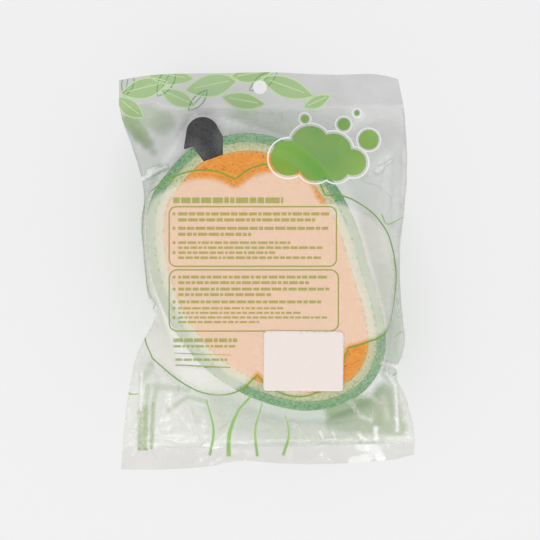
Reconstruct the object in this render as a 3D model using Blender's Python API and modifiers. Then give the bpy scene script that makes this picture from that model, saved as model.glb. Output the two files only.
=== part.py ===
# A fruit-shaped bath sponge of laminated foam, sealed in a flat clear film pouch.
# Units are metres. The pouch lies on its front film with its back film up: +Z is up, +Y points
# to the header with the hang hole, and the origin is under the middle of the pouch.

import math

import bmesh
import bpy
from mathutils import Matrix, Vector
from mathutils.geometry import convex_hull_2d

# Sponge: flesh, pith and rind of foam glued side by side, all of one thickness.
sponge_length = 0.1475
sponge_width = 0.1065
sponge_thickness = 0.035
sponge_turn = math.radians(-60.0)  # where the blossom end points, counted from +X
rind_thickness = 0.0042
pith_thickness = 0.0048
foam_gap = 0.0003  # stands for a glue line or a face that touches

# Distance from the sponge's middle at equal steps round it, from the blossom end
# counterclockwise, as a share of the length and the width: an ellipse has 0.5 all round.
outline_radius_shares = (
    0.500, 0.520, 0.520, 0.485, 0.460, 0.485, 0.520, 0.540, 0.530, 0.510,
    0.505, 0.500, 0.515, 0.510, 0.505, 0.500, 0.495, 0.480, 0.475, 0.485,
)
outline_steps = 120

# Stem: a dark thumb of foam, its root let into the rind and pith beside the stem end.
stem_place_share = 0.4755  # way round the outline, from the blossom end
stem_root_width = 0.0098
stem_mouth_width = 0.0158  # width of the notch at the rind's outer face
stem_width = 0.0163
stem_reach = 0.0132  # from the root to the middle of the round end
stem_lean = 0.0010  # sideways shift of the round end
stem_end_turn = math.radians(160.0)  # how far the round end goes before the straight side
stem_heel = 0.0042  # overhang on the rind, on one side of the notch
stem_end_steps = 12

# Pouch: two films, joined along their sides and sealed flat at the header and the foot.
# Its rooms are measured from the sponge, so that the pouch always holds it.
film_thickness = 0.0001
film_clearance = 0.0005  # between the films and the way that the sponge slides
flank_room = 0.0015  # least width of film beside the sponge's flank
slide_to_foot = 0.004
slide_to_header = 0.002
side_room_left = 0.0140
side_room_right = 0.0153
header_room = 0.0033  # from the stem, slid up, to the header
foot_room = 0.0107  # from the sponge, slid down, to the foot's right end
seal_thickness = 0.0002
seal_gap = 0.0003
header_depth = 0.0178
header_lift = 0.014  # height of the header above the surface that the pouch lies on
foot_depth = 0.0157
foot_slant = 0.0040  # how much less deep the foot is at its left end
foot_lift = 0.010
side_lift = 0.017  # height of the side folds beside the sponge
flange_power = 1.5  # how the films come together towards the rim: 1 is straight
hole_width = 0.007
hole_from_top = 0.0075
hole_shift = -0.0037
hole_steps = 24
cut_overrun = 0.002

# The pouch's edges as the crumpled film lies. Each pair is a share of the way along the edge and
# a share of the pouch's width or length that the edge is drawn in there.
left_edge_shares = (
    (0.020, 0.000), (0.088, 0.000), (0.133, 0.017), (0.200, 0.050), (0.270, 0.078),
    (0.320, 0.086), (0.370, 0.076), (0.460, 0.082), (0.530, 0.092), (0.570, 0.100),
    (0.612, 0.126), (0.645, 0.106), (0.705, 0.062), (0.795, 0.035), (0.880, 0.018),
    (1.000, 0.006),
)
right_edge_shares = (
    (0.017, 0.058), (0.073, 0.041), (0.148, 0.032), (0.235, 0.028), (0.320, 0.034),
    (0.410, 0.047), (0.487, 0.053), (0.572, 0.049), (0.677, 0.035), (0.722, 0.049),
    (0.757, 0.069), (0.799, 0.043), (0.852, 0.018), (0.922, 0.000), (0.962, 0.004),
)
top_edge_shares = (
    (0.000, 0.020), (0.046, 0.014), (0.122, 0.006), (0.240, 0.003), (0.410, 0.001),
    (0.523, 0.000), (0.660, 0.005), (0.754, 0.006), (0.831, 0.004), (0.890, 0.007),
    (0.942, 0.017),
)
bottom_edge_shares = (
    (0.006, 0.000), (0.150, 0.000), (0.245, 0.004), (0.325, 0.010), (0.374, 0.019),
    (0.422, 0.023), (0.500, 0.018), (0.610, 0.014), (0.710, 0.014), (0.864, 0.021),
    (0.941, 0.027), (0.996, 0.038),
)
side_stations = 28
end_stations = 28
film_rings = 6

# Label: a blank sticker on the back film.
label_width = 0.040
label_height = 0.030
label_thickness = 0.0001
label_corner = 0.0018
label_from_right = 0.0412  # middle of the label, from the sponge's right side and lower end
label_from_foot = 0.0247
label_turn = math.radians(-0.5)
label_corner_steps = 5


def new_material(name, colour, roughness, alpha=1.0):
    material = bpy.data.materials.new(name)
    material.use_nodes = True
    shader = material.node_tree.nodes["Principled BSDF"]
    shader.inputs["Base Color"].default_value = (*colour, 1.0)
    shader.inputs["Roughness"].default_value = roughness
    shader.inputs["Alpha"].default_value = alpha
    material.diffuse_color = (*colour, alpha)
    return material


def start_scene():
    for old in list(bpy.data.objects):
        bpy.data.objects.remove(old, do_unlink=True)
    parts = bpy.data.collections.new("bath_sponge")
    cutters = bpy.data.collections.new("cutters")
    bpy.context.scene.collection.children.link(parts)
    bpy.context.scene.collection.children.link(cutters)
    return parts, cutters


def flat_piece(name, outlines, low, high, collection):
    """A flat outline, with any inner outlines as holes, between two heights."""
    curve = bpy.data.curves.new(name + "_outline", "CURVE")
    curve.dimensions = "2D"
    curve.fill_mode = "BOTH"
    curve.extrude = (high - low) / 2
    for outline in outlines:
        spline = curve.splines.new("POLY")
        spline.points.add(len(outline) - 1)
        spline.use_cyclic_u = True
        for point, (x, y) in zip(spline.points, outline):
            point.co = (x, y, 0.0, 1.0)
    drawn = bpy.data.objects.new(name + "_outline", curve)
    drawn.location.z = (low + high) / 2
    collection.objects.link(drawn)
    bpy.context.view_layer.update()
    evaluated = drawn.evaluated_get(bpy.context.evaluated_depsgraph_get())
    mesh = bpy.data.meshes.new_from_object(evaluated)
    mesh.name = name
    solid = bmesh.new()
    solid.from_mesh(mesh)
    bmesh.ops.remove_doubles(solid, verts=solid.verts, dist=film_thickness / 10)
    bmesh.ops.recalc_face_normals(solid, faces=solid.faces)
    solid.to_mesh(mesh)
    solid.free()
    piece = bpy.data.objects.new(name, mesh)
    piece.matrix_world = drawn.matrix_world
    bpy.data.objects.remove(drawn, do_unlink=True)
    collection.objects.link(piece)
    return piece


def cut(piece, cutter):
    cutter.hide_render = True
    cutter.display_type = "WIRE"
    boolean = piece.modifiers.new("cut_" + cutter.name, "BOOLEAN")
    boolean.operation = "DIFFERENCE"
    boolean.object = cutter


def round_ring(values, place):
    """A smooth closed curve through values at equal steps, read at a share of the turn."""
    count = len(values)
    at = (place % 1.0) * count
    first = int(at)
    t = at - first
    a, b, c, d = (values[(first + step) % count] for step in (-1, 0, 1, 2))
    slope_b = (c - a) / 2
    slope_c = (d - b) / 2
    return (
        b * (1 + 2 * t) * (1 - t) ** 2
        + slope_b * t * (1 - t) ** 2
        + c * t * t * (3 - 2 * t)
        + slope_c * t * t * (t - 1)
    )


def sponge_point(place, depth=0.0):
    """A point on the outline, about the sponge's own middle, moved in by a depth."""

    def outer(share):
        angle = share * math.tau
        radius = round_ring(outline_radius_shares, share)
        return Vector(
            (radius * math.cos(angle) * sponge_length, radius * math.sin(angle) * sponge_width)
        )

    step = 1 / (outline_steps * 4)
    along = outer(place + step) - outer(place - step)
    inward = Vector((-along.y, along.x)).normalized()
    point = outer(place) + inward * depth
    point.rotate(Matrix.Rotation(sponge_turn, 2))
    return point


def sponge_ring(depth):
    return [sponge_point(step / outline_steps, depth) for step in range(outline_steps)]


def stem_frame():
    """The middle of the stem's root on the flesh, the way out from it and the way across."""
    root = sponge_point(stem_place_share, rind_thickness + pith_thickness)
    out = (sponge_point(stem_place_share) - root).normalized()
    return root, out, Vector((out.y, -out.x))


def stem_outline():
    root, out, across = stem_frame()
    band = rind_thickness + pith_thickness
    middle = root + out * stem_reach - across * stem_lean
    points = [
        root - across * (stem_root_width / 2),
        root + across * (stem_root_width / 2),
        root + across * (stem_mouth_width / 2) + out * band,
    ]
    for step in range(stem_end_steps + 1):
        angle = stem_end_turn * step / stem_end_steps
        points.append(middle + (across * math.cos(angle) + out * math.sin(angle)) * (stem_width / 2))
    mouth = root - across * (stem_mouth_width / 2) + out * band
    heel = mouth - across * stem_heel
    rest = out * (2 * foam_gap)
    points.append(heel + rest)
    points.append(mouth + rest)
    return points


def notch_outline():
    """The stem's place in the rind and pith, wider than the stem by the gap on each side."""
    root, out, across = stem_frame()
    band = rind_thickness + pith_thickness
    flare = (stem_mouth_width - stem_root_width) / (2 * band)
    near = stem_root_width / 2 + foam_gap
    top = band + cut_overrun
    far = near + flare * top
    return [
        root - across * near - out * foam_gap,
        root + across * near - out * foam_gap,
        root + across * far + out * top,
        root - across * far + out * top,
    ]


def sponge_box():
    """The lowest and highest corners of the sponge and its stem, about the sponge's middle."""
    points = sponge_ring(0.0) + stem_outline()
    low = Vector((min(point.x for point in points), min(point.y for point in points)))
    high = Vector((max(point.x for point in points), max(point.y for point in points)))
    return low, high


def pouch_box():
    """The pouch's flat size, and where its middle is from the sponge's middle."""
    low, high = sponge_box()
    left = low.x - side_room_left
    right = high.x + side_room_right
    foot = low.y - slide_to_foot - foot_room - foot_depth
    top = high.y + slide_to_header + header_room + header_depth
    return Vector((right - left, top - foot)), Vector(((left + right) / 2, (foot + top) / 2))


def placed(points):
    """Points about the sponge's middle, moved to where the sponge lies in the pouch."""
    return [point - pouch_middle for point in points]


pouch_size, pouch_middle = pouch_box()


def build_sponge(parts, cutters):
    low = film_thickness + foam_gap
    high = low + sponge_thickness
    band = rind_thickness + pith_thickness
    flesh_ring = placed(sponge_ring(band))
    pith_rings = [
        placed(sponge_ring(rind_thickness + foam_gap)), placed(sponge_ring(band - foam_gap))
    ]
    rind_rings = [placed(sponge_ring(0.0)), placed(sponge_ring(rind_thickness))]
    flesh = flat_piece("flesh_core", [flesh_ring], low, high, parts)
    pith = flat_piece("pith_band", pith_rings, low, high, parts)
    rind = flat_piece("rind_band", rind_rings, low, high, parts)
    stem = flat_piece("stem", [placed(stem_outline())], low, high, parts)
    notch = flat_piece(
        "stem_notch", [placed(notch_outline())], low - cut_overrun, high + cut_overrun, cutters
    )
    for layer in (flesh, pith, rind):
        cut(layer, notch)
    flesh.data.materials.append(new_material("orange_foam", (0.80, 0.33, 0.08), 0.9))
    pith.data.materials.append(new_material("cream_foam", (0.66, 0.62, 0.40), 0.9))
    rind.data.materials.append(new_material("green_foam", (0.17, 0.42, 0.20), 0.9))
    stem.data.materials.append(new_material("charcoal_foam", (0.05, 0.05, 0.05), 0.9))


def edge_value(table, at):
    """A smooth open curve through a table of pairs, read at a share of the way along it."""
    last = len(table) - 2
    index = 0
    while index < last and table[index + 1][0] < at:
        index += 1

    def slope(i):
        before, after = table[max(i - 1, 0)], table[min(i + 1, last + 1)]
        return (after[1] - before[1]) / (after[0] - before[0])

    (x0, y0), (x1, y1) = table[index], table[index + 1]
    span = x1 - x0
    t = min(max((at - x0) / span, 0.0), 1.0)
    return (
        y0 * (1 + 2 * t) * (1 - t) ** 2
        + slope(index) * span * t * (1 - t) ** 2
        + y1 * t * t * (3 - 2 * t)
        + slope(index + 1) * span * t * t * (t - 1)
    )


def left_point(y):
    drawn_in = edge_value(left_edge_shares, 0.5 - y / pouch_size.y) * pouch_size.x
    return Vector((-pouch_size.x / 2 + drawn_in, y))


def right_point(y):
    drawn_in = edge_value(right_edge_shares, 0.5 - y / pouch_size.y) * pouch_size.x
    return Vector((pouch_size.x / 2 - drawn_in, y))


def top_point(share):
    drop = edge_value(top_edge_shares, share) * pouch_size.y
    return Vector(((share - 0.5) * pouch_size.x, pouch_size.y / 2 - drop))


def bottom_point(share):
    rise = edge_value(bottom_edge_shares, share) * pouch_size.y
    return Vector(((share - 0.5) * pouch_size.x, -pouch_size.y / 2 + rise))


def between(first, last, count, point):
    return [point(first + (last - first) * step / count) for step in range(count)]


def header_line():
    return pouch_size.y / 2 - header_depth


def foot_line(side):
    """Height of the foot's inner line up the page, from 0 at the left to 1 at the right."""
    return -pouch_size.y / 2 + foot_depth - foot_slant * (1 - side)


def cap_outline():
    """The films' flat part: round the sponge and stem wherever the sponge can slide."""
    reach = []
    for slide in (-slide_to_foot, slide_to_header):
        shift = Vector((0.0, slide))
        reach += [point + shift for point in placed(sponge_ring(0.0) + stem_outline())]
    hull = [reach[index] for index in convex_hull_2d(reach)]
    area = sum(a.x * b.y - b.x * a.y for a, b in zip(hull, hull[1:] + hull[:1]))
    return hull if area > 0 else hull[::-1]


def cap_reach(hull, way):
    """How far the cap goes from the sponge's middle along a unit vector, with the clearance."""
    reaches = []
    for a, b in zip(hull, hull[1:] + hull[:1]):
        side = b - a
        out = Vector((side.y, -side.x)).normalized()
        if out.dot(way) > 0:
            reaches.append((out.dot(a + pouch_middle) + film_clearance) / out.dot(way))
    return min(reaches)


def rim_height(point):
    """The side folds hang from the sponge's flanks and come down to the seals at both ends."""
    foot = foot_line(point.x / pouch_size.x + 0.5)
    share = min(max((point.y - foot) / (header_line() - foot), 0.0), 1.0)
    ends = foot_lift + (header_lift - foot_lift) * share
    return ends + (side_lift - ends) * math.sin(math.pi * share) ** 2


def film_spokes():
    """Lines from the cap's edge to the pouch's rim, counterclockwise from the foot's right end."""
    header = header_line()
    foot_right, foot_left = foot_line(1.0), foot_line(0.0)
    rim = between(foot_right, header, side_stations, right_point)
    rim += between(
        0.0, 1.0, end_stations, lambda t: right_point(header).lerp(left_point(header), t)
    )
    rim += between(header, foot_left, side_stations, left_point)
    rim += between(
        0.0, 1.0, end_stations, lambda t: left_point(foot_left).lerp(right_point(foot_right), t)
    )
    hull = cap_outline()
    spokes = []
    for edge in rim:
        spoke = edge + pouch_middle
        way = spoke.normalized()
        reach = cap_reach(hull, way)
        outer = way * max(spoke.length, reach + flank_room) - pouch_middle
        spokes.append((way * reach - pouch_middle, outer))
    return spokes


def film_panel(name, cap_height, rim_step, faces_up, parts, material):
    """One film as an open skin, a flat cap and rings out to the rim, thickened outwards."""
    skin = bmesh.new()
    spokes = film_spokes()
    rings = []
    for ring in range(film_rings + 1):
        share = ring / film_rings
        row = []
        for inner, outer in spokes:
            place = inner.lerp(outer, share)
            rim = rim_height(outer) + rim_step
            height = rim + (cap_height - rim) * (1 - share) ** flange_power
            row.append(skin.verts.new((place.x, place.y, height)))
        rings.append(row)
    skin.faces.new(rings[0])
    for near, far in zip(rings, rings[1:]):
        for index in range(len(spokes)):
            after = (index + 1) % len(spokes)
            skin.faces.new((near[index], far[index], far[after], near[after]))
    bmesh.ops.recalc_face_normals(skin, faces=skin.faces)
    skin.faces.ensure_lookup_table()
    if (skin.faces[0].normal.z > 0) != faces_up:
        bmesh.ops.reverse_faces(skin, faces=skin.faces)
    mesh = bpy.data.meshes.new(name)
    skin.to_mesh(mesh)
    skin.free()
    film = bpy.data.objects.new(name, mesh)
    parts.objects.link(film)
    film.data.materials.append(material)
    shell = film.modifiers.new("film_thickness", "SOLIDIFY")
    shell.thickness = film_thickness
    shell.offset = 1.0
    shell.use_even_offset = True


def header_outline():
    line = header_line() + seal_gap
    outline = [left_point(line), right_point(line)]
    first, last = top_edge_shares[0][0], top_edge_shares[-1][0]
    outline += between(last, first, end_stations, top_point)
    outline.append(top_point(first))
    return outline


def foot_outline():
    first, last = bottom_edge_shares[0][0], bottom_edge_shares[-1][0]
    outline = between(first, last, end_stations, bottom_point)
    outline.append(bottom_point(last))
    outline.append(right_point(foot_line(1.0) - seal_gap))
    outline.append(left_point(foot_line(0.0) - seal_gap))
    return outline


def hang_hole():
    middle = Vector((hole_shift, pouch_size.y / 2 - hole_from_top))
    ring = []
    for step in range(hole_steps):
        angle = -math.tau * step / hole_steps
        ring.append(middle + Vector((math.cos(angle), math.sin(angle))) * (hole_width / 2))
    return ring


def build_pouch(parts):
    clear = new_material("clear_film", (0.78, 0.80, 0.76), 0.25, 0.35)
    sealed = new_material("sealed_film", (0.74, 0.78, 0.72), 0.35, 0.55)
    cap_low = film_thickness
    cap_high = cap_low + foam_gap + sponge_thickness + foam_gap
    film_panel("front_film", cap_low, -seal_gap / 2, False, parts, clear)
    film_panel("back_film", cap_high, seal_gap / 2, True, parts, clear)
    half = seal_thickness / 2
    header = flat_piece(
        "header_seal", [header_outline(), hang_hole()], header_lift - half, header_lift + half, parts
    )
    foot = flat_piece("foot_seal", [foot_outline()], foot_lift - half, foot_lift + half, parts)
    for seal in (header, foot):
        seal.data.materials.append(sealed)
    return cap_high + film_thickness


def label_outline():
    """A rectangle with round corners, turned a little, over the sponge's blossom end."""
    low, high = sponge_box()
    middle = Vector((high.x - label_from_right, low.y + label_from_foot))
    points = []
    for corner in range(4):
        start = corner * math.pi / 2
        toward = start + math.pi / 4
        centre = Vector((
            math.copysign(label_width / 2 - label_corner, math.cos(toward)),
            math.copysign(label_height / 2 - label_corner, math.sin(toward)),
        ))
        for step in range(label_corner_steps):
            angle = start + math.pi / 2 * step / (label_corner_steps - 1)
            point = centre + Vector((math.cos(angle), math.sin(angle))) * label_corner
            point.rotate(Matrix.Rotation(label_turn, 2))
            points.append(middle + point)
    return placed(points)


def build_label(parts, film_top):
    low = film_top + foam_gap
    label = flat_piece("label", [label_outline()], low, low + label_thickness, parts)
    label.data.materials.append(new_material("white_paper", (0.86, 0.80, 0.77), 0.6))


def main():
    parts, cutters = start_scene()
    build_sponge(parts, cutters)
    film_top = build_pouch(parts)
    build_label(parts, film_top)


main()
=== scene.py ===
# A fruit-shaped bath sponge of laminated foam, sealed in a clear printed film pouch, seen from
# above with the pouch's back up. Sizes in the dictionaries are millimetres, x to the right and
# y up the picture, from the middle of the pouch.
import math
import random

import bmesh
import bpy
import numpy as np
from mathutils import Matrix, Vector, noise
from mathutils.bvhtree import BVHTree
from mathutils.geometry import delaunay_2d_cdt


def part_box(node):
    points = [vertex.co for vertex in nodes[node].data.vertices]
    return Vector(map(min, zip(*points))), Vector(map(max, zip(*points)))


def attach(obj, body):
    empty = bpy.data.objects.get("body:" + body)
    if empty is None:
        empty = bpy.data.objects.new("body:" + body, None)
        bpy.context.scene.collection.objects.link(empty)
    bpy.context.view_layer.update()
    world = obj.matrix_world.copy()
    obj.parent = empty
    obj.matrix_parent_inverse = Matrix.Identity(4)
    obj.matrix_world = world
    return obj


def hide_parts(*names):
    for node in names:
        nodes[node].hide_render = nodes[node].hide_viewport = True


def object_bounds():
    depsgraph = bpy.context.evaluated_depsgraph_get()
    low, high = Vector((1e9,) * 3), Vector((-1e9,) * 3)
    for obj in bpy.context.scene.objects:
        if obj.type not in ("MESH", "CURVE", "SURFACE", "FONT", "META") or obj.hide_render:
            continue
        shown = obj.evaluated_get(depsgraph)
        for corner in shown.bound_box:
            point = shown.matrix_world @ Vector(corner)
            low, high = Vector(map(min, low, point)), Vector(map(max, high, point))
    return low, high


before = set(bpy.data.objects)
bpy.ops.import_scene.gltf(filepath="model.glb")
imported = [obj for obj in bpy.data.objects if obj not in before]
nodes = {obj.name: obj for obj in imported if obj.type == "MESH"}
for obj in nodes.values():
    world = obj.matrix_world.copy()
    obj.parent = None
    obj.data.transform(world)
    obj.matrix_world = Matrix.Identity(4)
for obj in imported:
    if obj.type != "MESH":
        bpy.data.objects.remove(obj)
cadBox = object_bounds()

mm = 0.001
scene = bpy.context.scene
noise.seed_set(4)

# small tools


def mix(a, b, share):
    return a + (b - a) * share


def ease(value):
    value = min(max(value, 0.0), 1.0)
    return value * value * (3 - 2 * value)


def easeAll(values):
    values = np.clip(values, 0, 1)
    return values * values * (3 - 2 * values)


def scaled(points):
    return [Vector(p) * mm for p in points]


def feed(value, node, key):
    node.id_data.links.new(value, node.inputs[key])


def addNode(tree, kind, inputs=None, **settings):
    node = tree.nodes.new("ShaderNode" + kind)
    for key, value in settings.items():
        setattr(node, key, value)
    for key, value in (inputs or {}).items():
        if isinstance(value, bpy.types.NodeSocket):
            feed(value, node, key)
        else:
            node.inputs[key].default_value = value
    return node


def newMaterial(name, colour, roughness, others=None):
    material = bpy.data.materials.new(name)
    material.use_nodes = True
    shader = material.node_tree.nodes["Principled BSDF"]
    for key, value in {"Base Color": (*colour, 1), "Roughness": roughness, **(others or {})}.items():
        shader.inputs[key].default_value = value
    return material, material.node_tree, shader


def ownPlace(tree):
    return addNode(tree, "TexCoord").outputs["Object"]


def noiseNode(tree, place, scale, detail=2.0, distortion=0.0):
    inputs = {"Vector": place, "Scale": scale, "Detail": detail, "Distortion": distortion}
    return addNode(tree, "TexNoise", inputs).outputs["Fac"]


def ramp(tree, value, low, high, fromValue=0.0, toValue=1.0):
    inputs = {"Value": value, "From Min": low, "From Max": high, "To Min": fromValue, "To Max": toValue}
    return addNode(tree, "MapRange", inputs).outputs["Result"]


def readStrength(tree, name):
    return addNode(tree, "Attribute", attribute_name=name).outputs["Fac"]


def maths(tree, operation, a, b=0.0):
    return addNode(tree, "Math", {0: a, 1: b}, operation=operation).outputs[0]


def times(tree, a, b):
    return maths(tree, "MULTIPLY", a, b)


def blendColours(tree, share, a, b):
    a, b = ((*colour, 1) if isinstance(colour, tuple) else colour for colour in (a, b))
    return addNode(tree, "Mix", {0: share, 6: a, 7: b}, data_type="RGBA").outputs[2]


def addBump(tree, shader, height, strength, depth):
    inputs = {"Height": height, "Strength": strength, "Distance": depth * mm}
    bump = addNode(tree, "Bump", inputs)
    feed(bump.outputs["Normal"], shader, "Normal")


def newPiece(name, points, faces, material, body):
    mesh = bpy.data.meshes.new(name)
    mesh.from_pydata([tuple(p) for p in points], [], faces)
    mesh.update()
    mesh.materials.append(material)
    mesh.shade_smooth()
    piece = bpy.data.objects.new(name, mesh)
    scene.collection.objects.link(piece)
    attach(piece, body)
    return piece


def giveStrength(piece, name, values):
    # a number for each point, which the piece's material reads by this name
    strength = piece.data.attributes.new(name, "FLOAT", "POINT")
    strength.data.foreach_set("value", [float(v) for v in values])


# outlines


def topLoops(node):
    # the outlines of a CAD solid's flat top, the largest first, the holes in it after
    solid = bmesh.new()
    solid.from_mesh(nodes[node].data)
    bmesh.ops.remove_doubles(solid, verts=solid.verts, dist=0.01 * mm)
    solid.verts.index_update()
    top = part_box(node)[1].z - 0.05 * mm
    upwards = 0.9
    faces = [f for f in solid.faces if f.normal.z > upwards and f.calc_center_median().z > top]
    follow = {}
    for face in faces:
        for loop in face.loops:
            if sum(f in faces for f in loop.edge.link_faces) == 1:
                follow[loop.vert.index] = (loop.link_loop_next.vert.index, loop.vert.co.xy.copy())
    loops = []
    while follow:
        here, ring = next(iter(follow)), []
        while here in follow:
            here, place = follow.pop(here)
            ring.append(place)
        loops.append(ring)
    solid.free()
    return sorted(loops, key=lambda ring: -abs(signedArea(ring)))


def sides(ring):
    return zip(ring, ring[1:] + ring[:1])


def signedArea(ring):
    return sum(a[0] * b[1] - b[0] * a[1] for a, b in sides(ring)) / 2


def asArray(ring):
    return np.array([tuple(p) for p in ring])


def spread(ring, step):
    # the same closed outline with points about a step apart
    points = []
    for a, b in sides(ring):
        count = max(1, round((b - a).length / step))
        points += [a.lerp(b, i / count) for i in range(count)]
    return points


def outwards(ring):
    # at each point of a closed outline the way out, longer at a corner
    turn = 1 if signedArea(ring) > 0 else -1
    ways = []
    for i, point in enumerate(ring):
        before = (point - ring[i - 1]).normalized()
        after = (ring[(i + 1) % len(ring)] - point).normalized()
        way = Vector((before.y + after.y, -before.x - after.x)).normalized() * turn
        corner = max(way.dot(Vector((before.y, -before.x)) * turn), 0.5)
        ways.append(way / corner)
    return ways


def movedOut(ring, distance):
    return [point + way * distance for point, way in zip(ring, outwards(ring))]


def smoothLine(corners, step):
    # a smooth line through a few points
    points = []
    ends = [corners[0] * 2 - corners[1]] + list(corners) + [corners[-1] * 2 - corners[-2]]
    for a, b, c, d in zip(ends, ends[1:], ends[2:], ends[3:]):
        steps = max(1, round((c - b).length / step))
        for k in range(steps):
            t = k / steps
            bend = (a * 2 - b * 5 + c * 4 - d) * t * t + (b * 3 - a - c * 3 + d) * t ** 3
            points.append((b * 2 + (c - a) * t + bend) / 2)
    return points + [corners[-1]]


def insideAll(ring, spots):
    # which of many places lie inside a closed outline
    x, y = spots[:, 0], spots[:, 1]
    odd = np.zeros(len(spots), bool)
    for a, b in sides(ring):
        if a[1] != b[1]:
            crosses = (a[1] > y) != (b[1] > y)
            odd ^= crosses & (x < (b[0] - a[0]) * (y - a[1]) / (b[1] - a[1]) + a[0])
    return odd


def fromLine(a, b, spots):
    # from each of many places to a straight line between two points
    a, b = np.array(a), np.array(b)
    along = np.clip(((spots - a) @ (b - a)) / max((b - a) @ (b - a), 1e-18), 0, 1)[:, None]
    return np.linalg.norm(spots - (a + along * (b - a)), axis=1)


def fromRing(ring, spots):
    away = np.full(len(spots), 1.0)
    for a, b in sides(ring):
        away = np.minimum(away, fromLine(a, b, spots))
    return away


def scatterPlaces(rings, step, seed, uneven=0.2):
    # places about a step apart inside any of some outlines
    corners = np.concatenate([asArray(ring) for ring in rings])
    low, high = corners.min(axis=0), corners.max(axis=0)
    columns, rows = (int(n) + 1 for n in (high - low) / step)
    across, up = (grid.ravel() for grid in np.meshgrid(np.arange(columns), np.arange(rows)))
    places = np.stack([across + 0.5 * (up % 2), up], axis=1)
    places = low + (places + np.random.default_rng(seed).uniform(-uneven, uneven, places.shape)) * step
    return places[np.any([insideAll(ring, places) for ring in rings], axis=0)]


print("frame read:", len(nodes), "nodes")

# camera and light

studio = {
    "distance": 3.0,  # metres, a long lens
    "middle": (1.4, 0.55),
    "seenWidth": 270.0,  # across the picture, at the height of the label
    "floorColour": (0.87, 0.87, 0.87),
    "floorGlow": 0.5,  # share of the floor that looks lit by itself, for a softer shadow
    "floorSize": 6.0,  # metres
    "floorGap": 0.05,  # under the pouch
    "skyDark": 0.79,  # the room beyond the header
    "skyLight": 0.94,  # and beyond the foot
    "skySpan": (-0.8, 0.8),
    # place in metres, size and power of each softbox
    "softboxes": {
        "keySoftbox": ((0.35, -2.2, 1.9), 1.5, 12.0),
        "sideSoftbox": ((-1.5, 0.4, 1.6), 0.9, 2.0),
        "smallSoftbox": ((0.55, -0.85, 1.3), 0.12, 0.7),
        "leftSoftbox": ((-0.75, -0.6, 1.3), 0.12, 0.5),
        "lowSoftbox": ((0.1, -0.45, 1.6), 0.1, 0.35),
    },
}


def addCamera():
    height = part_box("label")[1].z
    data = bpy.data.cameras.new("photoCamera")
    data.lens = data.sensor_width * studio["distance"] / (studio["seenWidth"] * mm)
    camera = bpy.data.objects.new("photoCamera", data)
    camera.location = (studio["middle"][0] * mm, studio["middle"][1] * mm, height + studio["distance"])
    scene.collection.objects.link(camera)
    scene.camera = camera


def addSoftbox(name, place, size, power):
    data = bpy.data.lights.new(name, "AREA")
    data.shape = "SQUARE"
    data.size = size
    data.energy = power
    lamp = bpy.data.objects.new(name, data)
    lamp.location = place
    lamp.rotation_euler = Vector(place).to_track_quat("Z", "Y").to_euler()
    scene.collection.objects.link(lamp)


def addRoom():
    # light from all round, stronger from the foot's side
    world = bpy.data.worlds.new("room")
    world.use_nodes = True
    tree = world.node_tree
    back = tree.nodes["Background"]
    back.inputs["Color"].default_value = (1, 1, 1, 1)
    way = addNode(tree, "TexCoord").outputs["Generated"]
    up = addNode(tree, "SeparateXYZ", {"Vector": way}).outputs["Y"]
    light = ramp(tree, up, *studio["skySpan"], studio["skyLight"], studio["skyDark"])
    feed(light, back, "Strength")
    scene.world = world


def addFloor():
    half = studio["floorSize"] / 2
    corners = [(-half, -half, 0), (half, -half, 0), (half, half, 0), (-half, half, 0)]
    mesh = bpy.data.meshes.new("floor")
    mesh.from_pydata(corners, [], [(0, 1, 2, 3)])
    floor = bpy.data.objects.new("floor", mesh)
    floor.location.z = cadBox[0].z - studio["floorGap"] * mm
    material, tree, shader = newMaterial("paleFloor", studio["floorColour"], 0.9)
    paler = tuple(c * 0.99 for c in studio["floorColour"])
    cloud = noiseNode(tree, ownPlace(tree), 8.0)
    feed(blendColours(tree, cloud, studio["floorColour"], paler), shader, "Base Color")
    rays = addNode(tree, "LightPath").outputs
    seen = maths(tree, "MAXIMUM", rays["Is Glossy Ray"], rays["Is Transmission Ray"])
    seen = times(tree, maths(tree, "MAXIMUM", seen, rays["Is Camera Ray"]), studio["floorGlow"])
    glow = addNode(tree, "Emission", {"Color": (*studio["floorColour"], 1)})
    both = addNode(tree, "MixShader", {0: seen, 1: shader.outputs[0], 2: glow.outputs[0]})
    feed(both.outputs[0], tree.nodes["Material Output"], "Surface")
    mesh.materials.append(material)
    scene.collection.objects.link(floor)


addCamera()
addRoom()
addFloor()
for name, (place, size, power) in studio["softboxes"].items():
    addSoftbox(name, place, size, power)
scene.view_settings.view_transform = "Standard"
print("camera, lamps and floor placed")

# foam

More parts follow.
